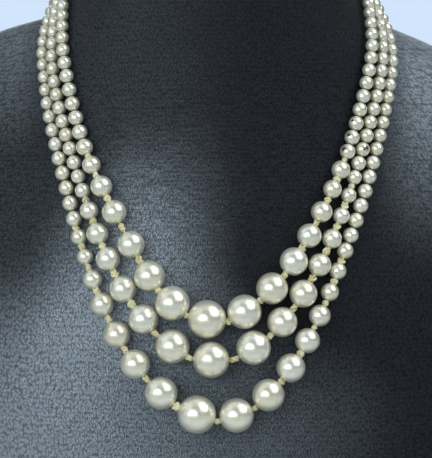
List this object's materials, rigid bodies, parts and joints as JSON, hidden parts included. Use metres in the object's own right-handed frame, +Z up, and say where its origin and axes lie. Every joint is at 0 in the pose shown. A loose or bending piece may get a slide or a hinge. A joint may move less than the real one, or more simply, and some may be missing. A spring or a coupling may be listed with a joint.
{
  "type": "faux pearl necklace on neck bust",
  "caption": "Multi-strand necklace of graduated imitation pearls on knotted thread, worn on a black leatherette neck bust.",
  "frame": {"origin": "middle of the bust's flat base, below the axis of the neck", "axes": "+Z up along the neck, -Y towards the front of the bust, +X to the right of someone looking at the front"},
  "size_m": [0.1944, 0.094, 0.266],
  "materials": {
    "pearl": "pearlescent lacquer",
    "thread": "twisted silk",
    "leatherette": "pebbled, satin",
    "clasp": "polished, slightly worn"
  },
  "bodies": {
    "root": {"neck_bust": "leatherette", "clasp": "clasp", "inner_thread": "thread", "middle_thread": "thread", "outer_thread": "thread", "inner_small_left": "pearl", "inner_small_right": "pearl", "middle_small_left": "pearl", "middle_small_right": "pearl", "outer_small_left": "pearl", "outer_small_right": "pearl", "inner_pearl_left_1": "pearl", "inner_pearl_left_2": "pearl", "inner_pearl_left_3": "pearl", "inner_pearl_left_4": "pearl", "inner_pearl_left_5": "pearl", "inner_pearl_left_6": "pearl", "inner_pearl_centre": "pearl", "inner_pearl_right_1": "pearl", "inner_pearl_right_2": "pearl", "inner_pearl_right_3": "pearl", "inner_pearl_right_4": "pearl", "inner_pearl_right_5": "pearl", "inner_pearl_right_6": "pearl", "middle_pearl_left_1": "pearl", "middle_pearl_left_2": "pearl", "middle_pearl_left_3": "pearl", "middle_pearl_left_4": "pearl", "middle_pearl_left_5": "pearl", "middle_pearl_left_6": "pearl", "middle_pearl_centre": "pearl", "middle_pearl_right_1": "pearl", "middle_pearl_right_2": "pearl", "middle_pearl_right_3": "pearl", "middle_pearl_right_4": "pearl", "middle_pearl_right_5": "pearl", "middle_pearl_right_6": "pearl", "outer_pearl_left_1": "pearl", "outer_pearl_left_2": "pearl", "outer_pearl_left_3": "pearl", "outer_pearl_left_4": "pearl", "outer_pearl_left_5": "pearl", "outer_pearl_left_6": "pearl", "outer_pearl_centre": "pearl", "outer_pearl_right_1": "pearl", "outer_pearl_right_2": "pearl", "outer_pearl_right_3": "pearl", "outer_pearl_right_4": "pearl", "outer_pearl_right_5": "pearl", "outer_pearl_right_6": "pearl"}
  },
  "joints": []
}
